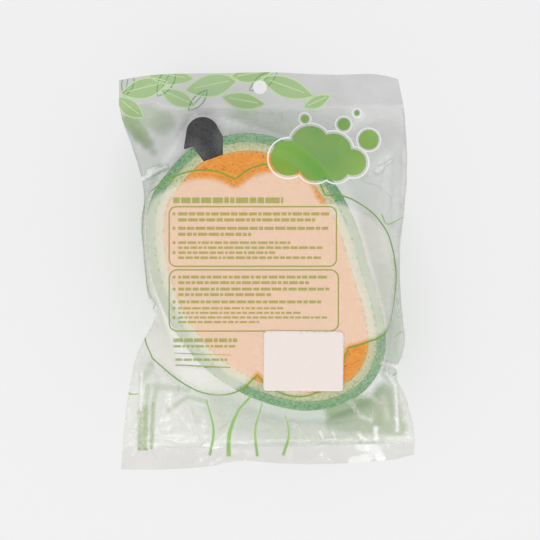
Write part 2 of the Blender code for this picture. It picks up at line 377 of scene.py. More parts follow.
foam = {
    "glue": 0.12,  # each layer grows by this towards its neighbour
    "edgeSteps": 3,  # round each cut edge
    "joinEdge": 0.15,  # radius of an edge that meets the next layer
    "joinReach": 1.2,  # an edge no further than this from a layer meets it
    "along": 1.6,  # spacing of points along the outlines
    "side": 2.6,  # and down the cut sides
    "top": 1.6,
    "seed": 5,
    "topMargin": 0.4,  # share of that spacing that stays clear along the outlines
    "unevenness": 0.1,
    "unevenWaves": 160,  # per metre
    "topShift": 0.35,  # share of it that moves the top's points sideways
    "blendFall": 1.5,  # how fast a neighbour's colour fades
    "rough": 0.85,
    "specular": 0.3,
}
foamLayers = {
    # edge: radius of the cut edges; cell: cells per metre; pores: share of the cells that are open;
    # more: how many more of them by the next layer out; blends: by which layer, from how far, to what
    # colour and how much the foam changes
    "fleshFoam": {
        "node": "flesh_core", "slot": "orange_foam", "meets": ("pith_band", "stem"), "edge": 0.3,
        "colour": (0.76, 0.295, 0.042), "deep": (0.64, 0.2, 0.02), "pale": (0.86, 0.38, 0.07),
        "poreColour": (0.52, 0.11, 0.02), "cell": 1000, "pores": 0.16, "more": 0.0, "sheen": 0.1,
        "blends": (("pith_band", 1.6, (0.72, 0.44, 0.15), 0.5),),
    },
    "pithFoam": {
        "node": "pith_band", "slot": "cream_foam", "meets": ("flesh_core", "rind_band", "stem"),
        "edge": 0.3,
        "colour": (0.545, 0.53, 0.3), "deep": (0.43, 0.44, 0.22), "pale": (0.67, 0.63, 0.41),
        "poreColour": (0.19, 0.35, 0.15), "cell": 1100, "pores": 0.2, "more": 0.9, "sheen": 0.1,
        "blends": (("rind_band", 3.6, (0.28, 0.46, 0.23), 0.6),
                   ("flesh_core", 1.3, (0.73, 0.46, 0.17), 0.5)),
    },
    "rindFoam": {
        "node": "rind_band", "slot": "green_foam", "meets": ("pith_band",), "edge": 0.9,
        "colour": (0.12, 0.31, 0.112), "deep": (0.065, 0.205, 0.073), "pale": (0.27, 0.485, 0.25),
        "poreColour": (0.04, 0.19, 0.07), "cell": 1100, "pores": 0.42, "more": 0.0, "sheen": 0.1,
        "blends": (("pith_band", 1.8, (0.28, 0.46, 0.23), 0.55),),
    },
    "stemFoam": {
        "node": "stem", "slot": "charcoal_foam", "meets": (), "edge": 0.8,
        "colour": (0.044, 0.044, 0.045), "deep": (0.026, 0.026, 0.029), "pale": (0.074, 0.074, 0.074),
        "poreColour": (0.014, 0.014, 0.016), "cell": 1300, "pores": 0.4, "more": 0.0, "sheen": 0.0,
        "blends": (),
    },
}


def foamMaterial(name, look):
    shine = {"Specular IOR Level": foam["specular"], "Sheen Weight": look["sheen"]}
    material, tree, shader = newMaterial(name, look["colour"], foam["rough"], shine)
    place = ownPlace(tree)
    cells = addNode(tree, "TexVoronoi", {"Vector": place, "Scale": look["cell"]})
    dice = addNode(tree, "SeparateColor", {"Color": cells.outputs["Color"]}).outputs[0]
    hollow = ramp(tree, cells.outputs["Distance"], 0.18, 0.52, 1.0, 0.0)
    near = [readStrength(tree, blend[0]) for blend in look["blends"]]
    if look["more"]:
        dice = maths(tree, "SUBTRACT", dice, times(tree, near[0], look["more"]))
    chosen = ramp(tree, dice, look["pores"] - 0.12, look["pores"], 1.0, 0.0)
    pore = times(tree, hollow, chosen)
    grain = noiseNode(tree, place, look["cell"] * 0.8, 3.0)
    patches = noiseNode(tree, place, 60.0, 3.0)
    body = blendColours(tree, ramp(tree, grain, 0.35, 0.65), look["deep"], look["pale"])
    body = blendColours(tree, ramp(tree, patches, 0.3, 0.7, 0.2, 0.6), body, look["colour"])
    for share, (_, _, colour, _) in zip(near, look["blends"]):
        body = blendColours(tree, share, body, colour)
    feed(blendColours(tree, pore, body, look["poreColour"]), shader, "Base Color")
    addBump(tree, shader, maths(tree, "SUBTRACT", grain, pore), 0.8, 0.3)
    return material


def wallRows(ring, way, radii, low, high):
    # rows of places from the flat top over its round edge, down the cut side and under
    rows = []
    for k in range(foam["edgeSteps"] + 1):
        turn = math.pi / 2 * k / foam["edgeSteps"]
        inset, drop = 1 - math.sin(turn), 1 - math.cos(turn)
        rows.append([(*(p + w * r * inset), high - r * drop) for p, w, r in zip(ring, way, radii)])
    under = [[(x, y, low + high - z) for x, y, z in row] for row in rows[::-1]]
    steps = max(2, round((high - low) / (foam["side"] * mm)))
    for k in range(1, steps):
        rows.append([(x, y, mix(z, low + high - z, k / steps)) for x, y, z in rows[foam["edgeSteps"]]])
    return rows + under


def fromNearest(rings, spots):
    return np.min([fromRing(ring, spots) for ring in rings], axis=0)


def foamWalls(look, low, high):
    # points and faces of the cut sides, the outlines of the flat top that they border, and the
    # numbers of the points round the top and round the underside
    rings = [spread(ring, foam["along"] * mm) for ring in topLoops(look["node"])]
    others = [spread(ring, foam["along"] * mm) for node in look["meets"] for ring in topLoops(node)]
    points, faces, bounds, above, below = [], [], [], [], []
    for number, ring in enumerate(rings):
        inner = 1 if number else -1
        ring = movedOut(ring, foam["glue"] * mm * -inner)
        gap = fromNearest(others, asArray(ring)) if others else np.ones(len(ring))
        radii = [(foam["joinEdge"] if g < foam["joinReach"] * mm else look["edge"]) * mm for g in gap]
        rows = wallRows(ring, [way * inner for way in outwards(ring)], radii, low, high)
        first, count = len(points), len(ring)
        for r, row in enumerate(rows):
            if r:
                a, b = len(points) - count, len(points)
                steps = ((i, (i + 1) % count) for i in range(count))
                faces += [(a + i, b + i, b + j, a + j) for i, j in steps]
            points += row
        bounds.append([Vector(place[:2]) for place in rows[0]])
        above += range(first, first + count)
        below += range(len(points) - count, len(points))
    return points, faces, bounds, above, below


def foamFlats(points, bounds, above, below, low, high):
    # adds points over the flat top and underside, and returns their faces
    flat, edges = [], []
    for ring in bounds:
        edges += [(len(flat) + i, len(flat) + (i + 1) % len(ring)) for i in range(len(ring))]
        flat += ring
    places = scatterPlaces(bounds[:1], foam["top"] * mm, foam["seed"])
    for ring in bounds[1:]:
        places = places[~insideAll(ring, places)]
    for x, y in places[fromNearest(bounds, places) > foam["top"] * mm * foam["topMargin"]]:
        flat.append(Vector((x, y)))
        above.append(len(points))
        points.append((x, y, high))
        below.append(len(points))
        points.append((x, y, low))
    spots, _, triangles, origins, _, _ = delaunay_2d_cdt(flat, edges, [], 0, 1e-9, True)
    where = asArray(flat)
    own = [o[0] if o else int(np.argmin(np.hypot(*(where - p).T))) for o, p in zip(origins, spots)]
    triangles = [t for t in ([own[i] for i in t] for t in triangles) if len(set(t)) == 3]
    middles = where[triangles].mean(axis=1)
    kept = insideAll(bounds[0], middles)
    for ring in bounds[1:]:
        kept &= ~insideAll(ring, middles)
    faces = []
    for triangle in (t for t, keep in zip(triangles, kept) if keep):
        faces.append(tuple(above[i] for i in triangle))
        faces.append(tuple(below[i] for i in reversed(triangle)))
    return faces


def buildFoam(name, look):
    low, high = (corner.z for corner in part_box(look["node"]))
    points, faces, bounds, above, below = foamWalls(look, low, high)
    faces += foamFlats(points, bounds, above, below, low, high)
    material = foamMaterial(name, look)
    piece = newPiece(name, [uneven(p, low, high) for p in points], faces, material, "sponge")
    solid = bmesh.new()
    solid.from_mesh(piece.data)
    bmesh.ops.recalc_face_normals(solid, faces=solid.faces)
    solid.to_mesh(piece.data)
    solid.free()
    spots = np.array([p[:2] for p in points])
    for node, reach, _, share in look["blends"]:
        away = fromNearest(topLoops(node), spots)
        giveStrength(piece, node, share * np.clip(1 - away / (reach * mm), 0, 1) ** foam["blendFall"])
    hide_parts(look["node"])
    return piece


def uneven(place, low, high):
    # cut foam is never quite flat; it stays inside its own height
    x, y, z = place
    bend = noise.noise_vector(Vector(place) * foam["unevenWaves"]) * foam["unevenness"] * mm
    sideways = foam["topShift"] if z > high - mm or z < low + mm else 1.0
    if z > high - mm:
        z -= abs(bend.z)
    elif z < low + mm:
        z += abs(bend.z)
    return x + bend.x * sideways, y + bend.y * sideways, z


for name, look in foamLayers.items():
    made = buildFoam(name, look)
    print(name, "made:", len(made.data.vertices), "points")

# pouch: two clear films, sealed together at the header and the foot

pouch = {
    "step": 1.2,  # spacing of points over the film
    "seed": 7,
    "sealStep": 1.5,  # and along the outlines of the seals
    "denseReach": 9.0,  # below the header, where the film has more points
    "overlap": 2.0,  # of the films over the seals
    "edgeWobble": 0.3,
    "edgeWobbleWaves": 130,  # per metre
    "waveSize": 26.0,  # of the seals' waves
    "headerWave": 0.9,
    "footWave": 1.1,
    "waveReach": 13.0,  # how far the waves run into the films
    "foldHeight": 1.65,
    "foldDepth": 0.3,  # folds reach no further in than this, to stay clear of the sponge
    "foldsRound": 11.0,  # folds that run out from the sponge, per radian
    "foldFlat": 0.8,  # share of their height that they lose by the seals
    "crumpleHeight": 0.35,
    "crumpleSize": 13.0,
    "creaseBend": 0.9,  # how far a crease strays from its line
    "creaseBendWaves": 90,  # per metre
    "creaseSharp": 1.3,  # more than 1 for hollow flanks
    "creaseFade": 0.4,  # share of a crease's length over which it fades, at and past each end
    "looseReach": 9.0,  # below the top of the film, where it is fully loose
    "underReach": 7.0,  # over the table, where the lower film is fully loose
    "calm": 0.05,  # how far the film stands off where it is tight
    "calmWaves": 60,  # per metre
    "seamStep": 3.0,  # spacing of places up the seam of a side
    "seamInside": 0.1,  # from the side edges in, where its height is taken
    "seamReach": 1.6,  # from the side edges in, where the two films close up
    "sealBlend": 3.0,  # over which the films come to the seals' height
    "sealDrop": 0.08,
    "seamGap": 0.12,  # between the two films at the seals
    "rayStart": 0.2,  # metres over or under the pouch
}
# folds seen in the film: two ends, half width and height
filmCreases = (
    (-63, 46, -50, 53, 2.2, 1.3),
    (-57.5, -15, -53.5, -27, 2, 1.4),
    (-55, -28, -50, -46, 2.4, 0.9),
    (-63.3, -51, -63.5, -72, 1.6, 1.3),
    (-63.5, -72, -67, -79, 1.4, 1.1),
    (-59.5, -43, -52.5, -57, 1.6, 0.9),
    (-50, -60, -57, -86, 3.2, 0.9),
    (-37, -66, -30, -87, 2.6, 1),
    (-21, -62, -26, -86, 3.5, 0.8),
    (20, -80, 27, -74, 2, 0.8),
    (34, -70, 38, -86, 1.8, 0.8),
    (45, -72, 50, -88, 1.6, 0.9),
    (50, -62, 58, -66, 1.5, 0.7),
    (54, -70, 60, -86, 1.4, 1),
    (57, -45.5, 66, -47.5, 1.5, 1.2),
    (56, -50, 64, -54, 1.4, 0.9),
    (64.5, -50, 66.5, -84, 1.5, 1.5),
    (60, 20, 62, 70, 3, 0.6),
    (65.5, 22, 67, 66, 2.2, 0.7),
    (53.5, 49, 63, 57, 2.2, 1),
    (56, 63, 60, 67, 2, 0.7),
    (39, 76, 50, 81.5, 2.6, 0.9),
    (-44, 66, -60, 74, 3, 0.7),
)


def treeOf(name):
    mesh = nodes[name].data
    return BVHTree.FromPolygons([v.co for v in mesh.vertices], [p.vertices for p in mesh.polygons])


topTree, bottomTree = treeOf("back_film"), treeOf("front_film")
headerRing, holeRing = topLoops("header_seal")
footRing = topLoops("foot_seal")[0]
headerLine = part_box("header_seal")[0].y
headerHeight = sum(corner.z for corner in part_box("header_seal")) / 2
footHeight = sum(corner.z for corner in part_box("foot_seal")) / 2
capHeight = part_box("back_film")[1].z
footLeft = max(footRing, key=lambda p: p.y - p.x * 0.5)
footRight = max(footRing, key=lambda p: p.y + p.x * 0.5)


def spanAt(y, name):
    # least and greatest x of a CAD node at a height up the page
    mesh = nodes[name].data
    found = []
    for edge in mesh.edges:
        a, b = (mesh.vertices[i].co for i in edge.vertices)
        if (a.y - y) * (b.y - y) <= 0 and a.y != b.y:
            found.append(mix(a.x, b.x, (y - a.y) / (b.y - a.y)))
    return min(found), max(found)


def footLine(x):
    return mix(footLeft.y, footRight.y, (x - footLeft.x) / (footRight.x - footLeft.x))


def noiseAt(x, y, layer):
    return noise.noise(Vector((x, y, layer)))


def sideSeam(side, foot):
    # places up a side edge of the pouch, where its two films meet: x, y and height
    places = []
    count = round((headerLine - foot.y) / (pouch["seamStep"] * mm))
    for i in range(1, count):
        y = mix(foot.y, headerLine, i / count)
        wobble = noiseAt(0, y * pouch["edgeWobbleWaves"], 9 - 4 * side) * pouch["edgeWobble"] * mm
        edge = spanAt(y, "back_film")[side]
        inside = edge + (1 - 2 * side) * pouch["seamInside"] * mm
        height = (castHeight(topTree, inside, y, -1) + castHeight(bottomTree, inside, y, 1)) / 2
        places.append((edge + wobble, y, height))
    return np.array(places)


def closeUp(x, y, height):
    # near a side edge a film comes down or up to the seam
    for way, (edges, ys, heights) in ((1, seams[0].T), (-1, seams[1].T)):
        inward = (x - np.interp(y, ys, edges)) * way
        share = ease(1 - inward / (pouch["seamReach"] * mm))
        height = mix(height, float(np.interp(y, ys, heights)), share)
    return height


def filmRing():
    lap = pouch["overlap"] * mm
    ring = [Vector((footLeft.x, footLeft.y - lap)), Vector((footRight.x, footRight.y - lap))]
    left, right = ([Vector(place[:2]) for place in seam] for seam in seams)
    low, high = spanAt(headerLine + lap, "header_seal")
    corners = [Vector((high, headerLine + lap)), Vector((low, headerLine + lap))]
    return spread(ring + right + corners + left[::-1], pouch["step"] * mm)


def wave(x, y):
    # soft swells and sharper ridges
    scale = 1 / (pouch["waveSize"] * mm)
    soft = noiseAt(x * scale, y * scale * 0.6, 2)
    sharp = abs(noiseAt(x * scale * 2.1, y * scale * 1.2, 8))
    return soft * 1.1 + (0.35 - sharp) * 0.7


def creaseHeight(x, y):
    height = 0.0
    for x0, y0, x1, y1, width, rise in filmCreases:
        ax, ay = x0 * mm, y0 * mm
        dx, dy = (x1 - x0) * mm, (y1 - y0) * mm
        along = ((x - ax) * dx + (y - ay) * dy) / (dx * dx + dy * dy)
        fade = 1 - (abs(along - 0.5) - 0.3) / pouch["creaseFade"]
        if fade > 0:
            waves = pouch["creaseBendWaves"]
            bend = noiseAt(x * waves, y * waves, 4) * pouch["creaseBend"] * mm
            away = abs((x - ax) * dy - (y - ay) * dx) / math.hypot(dx, dy) + bend
            side = max(1 - abs(away) / (width * mm), 0.0)
            height += rise * mm * side ** pouch["creaseSharp"] * ease(fade)
    return height


def folds(x, y, slack, end):
    # radial folds where the film is pulled round the sponge, and finer crumples
    angle, far = math.atan2(y, x), math.hypot(x, y)
    count = pouch["foldsRound"]
    radial = abs(noiseAt(math.cos(angle) * count, math.sin(angle) * count, far * 22))
    scale = 1 / (pouch["crumpleSize"] * mm)
    large = abs(noiseAt(x * scale, y * scale, 11))
    small = abs(noiseAt(x * scale * 2.3, y * scale * 2.3, 17))
    height = (0.3 - radial) * pouch["foldHeight"]
    height += ((0.28 - large) * 2 + 0.25 - small) * pouch["crumpleHeight"]
    height = max(height, -pouch["foldDepth"]) * mm + creaseHeight(x, y)
    return height * slack * (1 - pouch["foldFlat"] * end)


def endWave(x, y):
    reach = pouch["waveReach"] * mm
    top = ease(1 - (headerLine - y) / reach)
    foot = ease(1 - (y - footLine(x)) / reach)
    return (top * pouch["headerWave"] + foot * pouch["footWave"]) * wave(x, y) * mm, max(top, foot)


def castHeight(tree, x, y, way):
    # height of a CAD film, met from above by way -1 or from below by way 1
    hit = tree.ray_cast(Vector((x, y, -way * pouch["rayStart"])), Vector((0, 0, way)))[0]
    if hit is None:
        hit = tree.find_nearest(Vector((x, y, headerHeight)))[0]
    return hit.z


def sealHeight(x, y):
    # height of the nearer sealed end, and how far this place belongs to it
    header = (y - headerLine) / (pouch["sealBlend"] * mm) + 1
    foot = (footLine(x) - y) / (pouch["sealBlend"] * mm) + 1
    height = (headerHeight if header > foot else footHeight) + endWave(x, y)[0] + creaseHeight(x, y)
    return height, ease(max(header, foot))


def topHeight(x, y):
    sealed, share = sealHeight(x, y)
    if share == 1:
        return sealed
    rise, end = endWave(x, y)
    base = castHeight(topTree, x, y, -1)
    slack = ease((capHeight - base) / (pouch["looseReach"] * mm))
    waves = pouch["calmWaves"]
    calm = pouch["calm"] * mm * (1 + noiseAt(x * waves, y * waves, 1))
    height = base + calm + rise * slack + folds(x, y, slack, end)
    return closeUp(x, y, mix(height, sealed, share))


def bottomHeight(x, y):
    sealed, share = sealHeight(x, y)
    sealed -= pouch["seamGap"] * mm
    if share == 1:
        return sealed
    rise, end = endWave(x, y)
    base = castHeight(bottomTree, x, y, 1)
    slack = ease(base / (pouch["underReach"] * mm))
    height = max(base + rise * slack - folds(x, y, slack, end), 0.0)
    return closeUp(x, y, mix(height, sealed, share))


def cutSheet(regions, prints, height, dense=None):
    # one mesh of points for a film and all that is printed on it, so that print and film agree
    places, faces, labels = [], [], []
    for label, ring in regions + prints:
        faces.append(range(len(places), len(places) + len(ring)))
        places += ring
        labels.append(label)
    step = pouch["step"] * mm
    spots = scatterPlaces([ring for label, ring in regions], step, pouch["seed"])
    if dense is not None:
        more = spots[dense(spots)]
        spots = np.concatenate([spots, more + (step * 0.5, step * 0.3), more + (0, step * 0.5)])
    places += [Vector(spot) for spot in spots]
    spots, _, triangles, _, _, owners = delaunay_2d_cdt(places, [], faces, 1, 1e-7, True)
    names = [{labels[i] for i in owner} for owner in owners]
    points = np.array([(p.x, p.y, height(p.x, p.y)) for p in spots])
    corners = np.array(triangles)
    a, b, c = (points[corners[:, k]] for k in range(3))
    normals = np.zeros_like(points)
    for k in range(3):
        np.add.at(normals, corners[:, k], np.cross(b - a, c - a))
    normals /= np.maximum(np.linalg.norm(normals, axis=1)[:, None], 1e-12)
    return {"points": points, "faces": triangles, "names": names, "normals": normals}


def sheetPiece(name, sheet, wanted, lift, material, flip=False):
    # the faces of a sheet whose names are wanted, lifted along the sheet's own normals
    chosen = [face for face, names in zip(sheet["faces"], sheet["names"]) if wanted(names)]
    used = sorted({i for face in chosen for i in face})
    place = {old: new for new, old in enumerate(used)}
    points = sheet["points"][used] + sheet["normals"][used] * (lift * mm)
    faces = [tuple(place[i] for i in (reversed(face) if flip else face)) for face in chosen]
    piece = newPiece(name, points, faces, material, "pouch")
    return piece, sheet["points"][used]


# prints: plain shapes cut from the same sheet as the film that carries them

panel = {
    # the scallops of the printed panel's outline, each from one meeting point to the next
    "scallops": (
        ((29, 38), (24, 47), (12, 53.5), (0, 53.5), (-9, 51), (-16, 46)),
        ((-16, 46), (-26, 50), (-38, 50), (-50, 45.7), (-56.8, 41), (-60.8, 36.5), (-62.1, 30.5),
         (-62.6, 20), (-61.9, 9.8), (-61, -0.5), (-60, -9.3), (-56, -16.5)),
        ((-56, -16.5), (-60.5, -25), (-61.5, -34), (-57.5, -44)),
        ((-57.5, -44), (-46, -53.5), (-35, -60), (-24, -62), (-13.5, -59.5), (-5, -52)),
        ((-5, -52), (2, -58.5), (12, -62.5), (23, -61.5), (34, -54), (40.5, -38.5)),
        ((40.5, -38.5), (50, -35.5), (58.5, -31.5), (62.5, -22), (64.8, -4), (63.6, 9)),
        ((63.6, 9), (60.5, 19), (54, 28), (46, 34), (38, 37.5), (29, 38)),
    ),
    "step": 2.2,  # spacing of points along it
    "line": 0.85,
    "leastWidth": 0.4,  # share of a line's width that is left where the film is steep
    "whiteLift": 0.03,
    "whiteInset": 0.5,
    "topInset": 2.1,  # more of it along the top
    "topFrom": (20, 35),  # up the page
    "leftInset": 1.2,  # and less along the left
    "leftFrom": (50, 60),  # left of the middle
    "whiteSoft": (1.6, 3.2),  # at the sides and foot, and along the top
    "whiteStrength": 0.53,
    "whiteAlone": 0.7,  # share of it where no foam lies behind
}
frames = {
    # each one's lower left and upper right corner, and the radius of its corners
    "boxes": (((-49, 2.4), (34.6, 32.2), 3.5), ((-49, -30), (35.6, 0.6), 4)),
    "line": 0.65,
    "step": 3,
}
textRows = {
    # left end and height of a group's bars, then height up the page and right end of each row
    "groups": (
        (-47, 2.9, ((35.4, 8),)),
        (-44.5, 1.6, ((28.6, 31), (25.6, 24), (21.4, 30.5), (18.4, -8))),
        (-44.5, 1.3, ((14.2, 12), (11.7, 29), (9.2, 4), (6.7, 27))),
        (-44.5, 1.5, ((-3, 30), (-5.8, 21), (-9, 31), (-11.8, 2), (-15.4, 27))),
        (-44.5, 1.1, ((-18.6, 8), (-20.9, 17), (-23.2, 30), (-25.5, -4))),
        (-47, 1.9, ((-34.6, -14),)),
        (-47, 1.2, ((-37.6, -16),)),
        (-46, 1.2, ((-44.3, -20),)),
    ),
    "dots": (28.6, 21.4, 14.2, 9.2, -3, -9, -15.4, -18.6, -23.2),
    "dotPlace": -46.6,
    "dotRadius": 0.85,
    "dotStep": 0.5,
    "word": (1.2, 4.2),  # shortest and longest bar
    "longer": (0.7, 0.35),  # share of that, and more of it for each millimetre of height
    "least": 0.8,  # no bar is begun with less room
    "gap": 0.6,
    "rules": (((-46.5, -41), (-18, -42), 0.35), ((-46, -47), (-18.5, -48.2), 0.6)),
}
bubbles = {
    # middle and radius of each bubble
    "cluster": ((10.5, 56.5, 8.8), (21.5, 63.5, 9.4), (33.5, 60.5, 8.6), (43, 54.5, 6.6), (24, 53.5, 8.4),
                (34.5, 51.5, 6.4)),
    "single": ((51, 66, 5), (38.5, 73.8, 3.2), (45.2, 79.6, 1.4), (19, 76.6, 2.1)),
    "rim": 0.8,
    "gap": 1,
    "singleRim": 0.7,  # share of both round the single ones
}
leaves = {
    # middle, length, width and turn in degrees of each leaf on the header
    "filled": ((-62, 92.5, 24, 10, 14), (-69, 82.5, 17, 8, -38), (-45, 87.5, 19, 8, -24),
               (-28, 94, 27, 11, 12), (-12, 86, 22, 8.5, -10), (10, 93, 28, 10, -20),
               (25, 85.5, 15, 6, 24), (-50, 99, 26, 9, -10), (-8, 99.5, 22, 8, 9)),
    "drawn": ((-51, 96, 18, 7.5, 62), (-35, 86, 14, 5, 48), (-2, 96, 17, 6.5, 35),
              (-70.5, 95, 14, 6, 78)),
    # way out, share of the width and bluntness of a leaf's two sides
    "sides": ((-1, 0.55, 0.8), (1, 0.45, 0.9)),
    "steps": 12,  # points along each of them
    "line": 0.65,
    "vein": 0.5,
}
blades = {
    # points up each printed blade of grass, and its width at the foot
    "lines": (
        (((-29, -93), (-27, -80), (-30.5, -64.5)), 1.5),
        (((-19.5, -93.5), (-19, -82), (-14.5, -70), (-8, -62.5)), 2.3),
        (((-5, -93.5), (-6, -80), (-2.5, -66)), 1.5),
        (((8, -93), (11, -82), (9, -72)), 1.6),
        (((57.5, 28.5), (60.5, 23.5), (68.8, 27.5)), 0.9),
        (((64, -33.5), (66, -31), (68.5, -30.5)), 1.1),
        (((63.5, -52.5), (65.5, -51)), 1.4),
        (((-71, -60.5), (-69, -62), (-65, -61.8)), 1.1),
    ),
    "tip": 0.45,  # share of the foot's width
    "step": 2,
}
farPrints = {
    # soft prints on the far film: two ends, radius, softness and strength
    "lift": 0.04,
    "least": 0.01,  # strength below which no face is taken
    "marks": (
        (-61, 78, -53, 75, 3.5, 5, 0.5),
        (-69, 76, -64, 69, 2.5, 3.5, 0.9),
        (-64, 69, -60.5, 64.5, 1.2, 3.6, 0.8),
        (-60.5, 64.5, -57.5, 60, 0.1, 3.0, 0.5),
        (-61, -12, -62, 30, 1, 6, 0.16),
        (36, -69, 60, -73, 5, 6, 0.78),
        (59, -63, 62, -76, 3, 5.5, 0.7),
        (33, -77, 66, -79, 2, 4.5, 0.68),
        (-22, -70, 50, -78, 5, 18, 0.27),
        (61, -45, 62, 0, 2, 8, 0.25),
        (-64.2, -71, -64.5, -91, 0.4, 1.1, 1.0),
        (-61.4, -69, -62, -93, 0.9, 1.1, 1.0),
        (-57.6, -67, -58.5, -89, 0.4, 1.1, 1.0),
        (-60.4, -58, -61.4, -69, 0.6, 1.6, 0.5),
        (-55.6, -58, -57.6, -67, 0.3, 1.6, 0.5),
        (-63, -55, -58.5, -47, 0.5, 2.4, 0.5),
        (-57, -58, -40, -60, 0.3, 2.2, 0.45),
        (-50, -70, -40, -63.5, 0.4, 1.6, 0.5),
        (-40, -63.5, -31, -66, 0.4, 1.8, 0.45),
    ),
}


def steepness(point, across):
    # how much shorter a step across looks from above, where the film slopes
    rise = topHeight(*(point + across * mm)) - topHeight(*(point - across * mm))
    return max(1 / math.hypot(1, rise / (2 * mm)), panel["leastWidth"])


def ribbon(points, width, ends=(1.0, 1.0), closed=False, onFilm=False):
    # a line of some width as a row of four-sided faces
    left, right = [], []
    last = len(points) - 1
    for i, point in enumerate(points):
        before = points[i - 1 if closed else max(i - 1, 0)]
        after = points[(i + 1) % len(points) if closed else min(i + 1, last)]
        along = (after - before).normalized()
        across = Vector((-along.y, along.x))
        across *= width * mix(*ends, i / last) / 2 * (steepness(point, across) if onFilm else 1)
        left.append(point + across)
        right.append(point - across)
    pairs = [(i, (i + 1) % len(points)) for i in range(len(points) if closed else last)]
    return [[left[i], right[i], right[j], left[j]] for i, j in pairs]


def disc(x, y, radius, step=1.0):
    count = max(10, round(math.tau * radius / step))
    turns = [math.tau * i / count for i in range(count)]
    return scaled([(x + radius * math.cos(t), y + radius * math.sin(t)) for t in turns])


def roundedBox(low, high, corner, steps=6):
    # counterclockwise from the right-hand end of the top
    points = []
    middles = ((high[0] - corner, high[1] - corner), (low[0] + corner, high[1] - corner),
               (low[0] + corner, low[1] + corner), (high[0] - corner, low[1] + corner))
    for quarter, (x, y) in enumerate(middles):
        for i in range(steps + 1):
            turn = math.pi / 2 * (quarter + i / steps)
            points.append((x + corner * math.cos(turn), y + corner * math.sin(turn)))
    return spread(scaled(points), frames["step"] * mm)


def panelRing():
    points = []
    for scallop in panel["scallops"]:
        points += smoothLine(scaled(scallop), panel["step"] * mm)[:-1]
    return points


def leafRing(x, y, length, width, turn):
    # pointed at both ends, a little fuller on one side
    steps = leaves["steps"]
    c, s = math.cos(math.radians(turn)), math.sin(math.radians(turn))
    ring = []
    for side, share, power in leaves["sides"]:
        for i in range(steps):
            along = (0.5 - i / steps) * length * side
            out = math.sin(math.pi * i / steps) ** power * width * share * side
            ring.append((x + along * c - out * s, y + along * s + out * c))
    return scaled(ring)


def labelled(label, rings):
    return [(label, ring) for ring in rings]


def leafParts(leaf, label, line):
    ring = leafRing(*leaf)
    middle = len(ring) // 2
    vein = [ring[0].lerp(ring[middle], t / 6) for t in range(1, 6)]
    parts = ribbon(ring, leaves["line"] * mm, closed=True) + ribbon(vein, leaves["vein"] * mm)
    return [(label, ring)] * (label is not None) + labelled(line, parts)


def bubbleRings(x, y, radius, size):
    gap = bubbles["gap"] * size
    rim = bubbles["rim"] * size
    return [("bubble", disc(x, y, radius)), ("bubbleInner", disc(x, y, radius + gap)),
            ("bubbleOuter", disc(x, y, radius + gap + rim))]


def textBars():
    bars = []
    words = random.Random(3)
    for left, tall, rows in textRows["groups"]:
        longer = textRows["longer"][0] + tall * textRows["longer"][1]
        for y, right in rows:
            low, high = y - tall / 2, y + tall / 2
            x = left
            while x < right - textRows["least"]:
                end = min(x + words.uniform(*textRows["word"]) * longer, right)
                bars.append(scaled(((x, low), (end, low), (end, high), (x, high))))
                x = end + textRows["gap"]
    dot = textRows["dotRadius"], textRows["dotStep"]
    bars += [disc(textRows["dotPlace"], y, *dot) for y in textRows["dots"]]
    for start, end, width in textRows["rules"]:
        bars += ribbon(scaled((start, end)), width * mm)
    return bars


def topPrints():
    ring = panelRing()
    line = ribbon(ring, panel["line"] * mm, closed=True, onFilm=True)
    prints = [("panel", ring)] + labelled("panelLine", line)
    for box in frames["boxes"]:
        prints += labelled("frameLine", ribbon(roundedBox(*box), frames["line"] * mm, closed=True))
    prints += labelled("text", textBars())
    for bubble in bubbles["cluster"]:
        prints += bubbleRings(*bubble, 1.0)
    for bubble in bubbles["single"]:
        prints += bubbleRings(*bubble, bubbles["singleRim"])
    for leaf in leaves["filled"]:
        prints += leafParts(leaf, "leaf", "leafLine")
    for leaf in leaves["drawn"]:
        prints += leafParts(leaf, None, "drawnLine")
    for line, width in blades["lines"]:
        middle = smoothLine(scaled(line), blades["step"] * mm)
        prints += labelled("blade", ribbon(middle, width * mm, (1.0, blades["tip"]), onFilm=True))
    return prints


seams = (sideSeam(0, footLeft), sideSeam(1, footRight))
filmOutline = filmRing()
seals = [(label, spread(ring, pouch["sealStep"] * mm))
         for label, ring in (("header", headerRing), ("foot", footRing))]


def belowHeader(spots):
    return (spots[:, 1] > headerLine - pouch["denseReach"] * mm) & (spots[:, 1] < headerLine)


prints = topPrints() + [("hole", holeRing[::-1])]
topSheet = cutSheet([("film", filmOutline)] + seals, prints, topHeight, belowHeader)
print("upper film cut:", len(topSheet["points"]), "points")
bottomSheet = cutSheet([("film", filmOutline)], [], bottomHeight)
print("lower film cut:", len(bottomSheet["points"]), "points")

# film and inks

